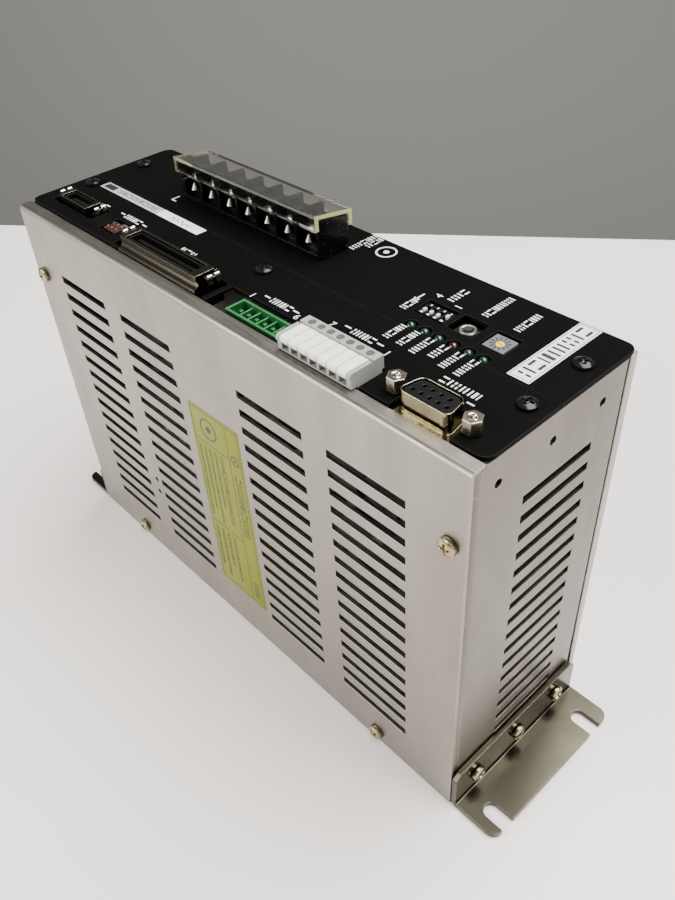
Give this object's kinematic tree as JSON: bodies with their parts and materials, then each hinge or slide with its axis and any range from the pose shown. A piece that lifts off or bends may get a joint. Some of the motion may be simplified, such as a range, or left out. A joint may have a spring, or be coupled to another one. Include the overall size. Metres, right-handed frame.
{
  "type": "servo drive",
  "caption": "Panel-mounted servo motor drive: a vented aluminium case on slotted brackets, with connectors, switches and a covered terminal strip on its front.",
  "frame": {"origin": "centre of the rear face, the face that lies against the mounting panel", "axes": "+X along the case towards its upper end, +Y from the vented side cover to the heat-sink plate, +Z from the rear face to the front panels"},
  "size_m": [0.2586, 0.0717, 0.1684],
  "materials": {
    "brushed_aluminium": "brushed, clear",
    "black_paint": "semi-gloss powder coat",
    "nickel_plate": "dull nickel plate",
    "yellow_zinc": "yellow zinc plate",
    "chromate": "yellow chromate",
    "black_plastic": "moulded",
    "gloss_black_plastic": "glossy moulded",
    "clear_cover": "clear smoked sheet",
    "white_plastic": "moulded",
    "green_plastic": "moulded",
    "red_plastic": "moulded",
    "lamp_green": "moulded lamps",
    "grey_plastic": "moulded",
    "yellow_plastic": "moulded",
    "circuit_board": "solder mask",
    "sleeve": "shrink sleeve",
    "copper": "enamelled wire",
    "ceramic": "ceramic case"
  },
  "bodies": {
    "case": {"chassis": "brushed_aluminium", "side_cover": "brushed_aluminium", "heat_sink_plate": "brushed_aluminium", "signal_panel": "black_paint", "power_panel": "black_paint", "cover_screw_lower_front": "yellow_zinc", "cover_screw_upper_front": "yellow_zinc", "cover_screw_lower_rear": "yellow_zinc", "cover_screw_upper_rear": "yellow_zinc", "lower_bracket": "nickel_plate", "upper_bracket": "nickel_plate", "encoder_shell": "nickel_plate", "encoder_insert": "black_plastic", "control_shell": "nickel_plate", "control_insert": "black_plastic", "jumper_header": "red_plastic", "sensor_header": "green_plastic", "plug_header": "green_plastic", "serial_shell": "chromate", "serial_insert": "black_plastic", "jackscrew_1": "nickel_plate", "jackscrew_2": "nickel_plate", "terminal_block": "gloss_black_plastic", "display_board": "circuit_board", "led_array": "lamp_green", "mode_switch_body": "black_plastic", "reset_button_body": "nickel_plate", "address_switch_body": "grey_plastic", "control_board": "circuit_board", "power_board": "circuit_board", "bus_capacitor_1": "sleeve", "bus_capacitor_2": "sleeve", "line_choke": "copper", "inrush_relay": "black_plastic", "supply_transformer": "sleeve", "power_module": "black_plastic", "bridge_rectifier": "black_plastic", "brake_resistor": "ceramic", "lower_bracket_screw_1": "yellow_zinc", "lower_bracket_screw_2": "yellow_zinc", "lower_bracket_screw_3": "yellow_zinc", "upper_bracket_screw_1": "yellow_zinc", "upper_bracket_screw_2": "yellow_zinc", "upper_bracket_screw_3": "yellow_zinc"},
    "plug": {"plug_body": "white_plastic"},
    "terminal_cover": {"terminal_cover": "clear_cover"},
    "reset_button": {"reset_button": "grey_plastic"},
    "address_rotor": {"address_rotor": "yellow_plastic"},
    "plug_lever_1": {"plug_lever_1": "white_plastic"},
    "plug_lever_2": {"plug_lever_2": "white_plastic"},
    "plug_lever_3": {"plug_lever_3": "white_plastic"},
    "plug_lever_4": {"plug_lever_4": "white_plastic"},
    "plug_lever_5": {"plug_lever_5": "white_plastic"},
    "plug_lever_6": {"plug_lever_6": "white_plastic"},
    "plug_lever_7": {"plug_lever_7": "white_plastic"},
    "mode_slider_1": {"mode_slider_1": "white_plastic"},
    "mode_slider_2": {"mode_slider_2": "white_plastic"},
    "mode_slider_3": {"mode_slider_3": "white_plastic"},
    "mode_slider_4": {"mode_slider_4": "white_plastic"}
  },
  "joints": [
    {"name": "plug_pull", "type": "slide", "parent": "case", "child": "plug", "axis": [0, 0, 1], "range_m": [0, 0.009]},
    {"name": "plug_lever_1_lift", "type": "hinge", "parent": "plug", "child": "plug_lever_1", "pos_m": [0.04077, -0.02365, 0.1561], "axis": [-1, 0, 0], "range_deg": [0, 35], "stiffness_Nm_per_rad": 0.02, "springref_deg": -5.73},
    {"name": "plug_lever_2_lift", "type": "hinge", "parent": "plug", "child": "plug_lever_2", "pos_m": [0.04458, -0.02365, 0.1561], "axis": [-1, 0, 0], "range_deg": [0, 35], "stiffness_Nm_per_rad": 0.02, "springref_deg": -5.73},
    {"name": "plug_lever_3_lift", "type": "hinge", "parent": "plug", "child": "plug_lever_3", "pos_m": [0.04839, -0.02365, 0.1561], "axis": [-1, 0, 0], "range_deg": [0, 35], "stiffness_Nm_per_rad": 0.02, "springref_deg": -5.73},
    {"name": "plug_lever_4_lift", "type": "hinge", "parent": "plug", "child": "plug_lever_4", "pos_m": [0.0522, -0.02365, 0.1561], "axis": [-1, 0, 0], "range_deg": [0, 35], "stiffness_Nm_per_rad": 0.02, "springref_deg": -5.73},
    {"name": "plug_lever_5_lift", "type": "hinge", "parent": "plug", "child": "plug_lever_5", "pos_m": [0.05601, -0.02365, 0.1561], "axis": [-1, 0, 0], "range_deg": [0, 35], "stiffness_Nm_per_rad": 0.02, "springref_deg": -5.73},
    {"name": "plug_lever_6_lift", "type": "hinge", "parent": "plug", "child": "plug_lever_6", "pos_m": [0.05982, -0.02365, 0.1561], "axis": [-1, 0, 0], "range_deg": [0, 35], "stiffness_Nm_per_rad": 0.02, "springref_deg": -5.73},
    {"name": "plug_lever_7_lift", "type": "hinge", "parent": "plug", "child": "plug_lever_7", "pos_m": [0.06363, -0.02365, 0.1561], "axis": [-1, 0, 0], "range_deg": [0, 35], "stiffness_Nm_per_rad": 0.02, "springref_deg": -5.73},
    {"name": "terminal_cover_pull", "type": "slide", "parent": "case", "child": "terminal_cover", "axis": [0, 0, 1], "range_m": [0, 0.012]},
    {"name": "reset_button_press", "type": "slide", "parent": "case", "child": "reset_button", "axis": [0, 0, -1], "range_m": [0, 0.0004], "stiffness_N_per_m": 1500},
    {"name": "mode_slider_1_slide", "type": "slide", "parent": "case", "child": "mode_slider_1", "axis": [0, -1, 0], "range_m": [0, 0.0013]},
    {"name": "mode_slider_2_slide", "type": "slide", "parent": "case", "child": "mode_slider_2", "axis": [0, 1, 0], "range_m": [0, 0.0013]},
    {"name": "mode_slider_3_slide", "type": "slide", "parent": "case", "child": "mode_slider_3", "axis": [0, 1, 0], "range_m": [0, 0.0013]},
    {"name": "mode_slider_4_slide", "type": "slide", "parent": "case", "child": "mode_slider_4", "axis": [0, 1, 0], "range_m": [0, 0.0013]},
    {"name": "address_rotor_turn", "type": "hinge", "parent": "case", "child": "address_rotor", "pos_m": [0.0817, 0.0111, 0.1514], "axis": [0, 0, 1], "continuous": true}
  ]
}
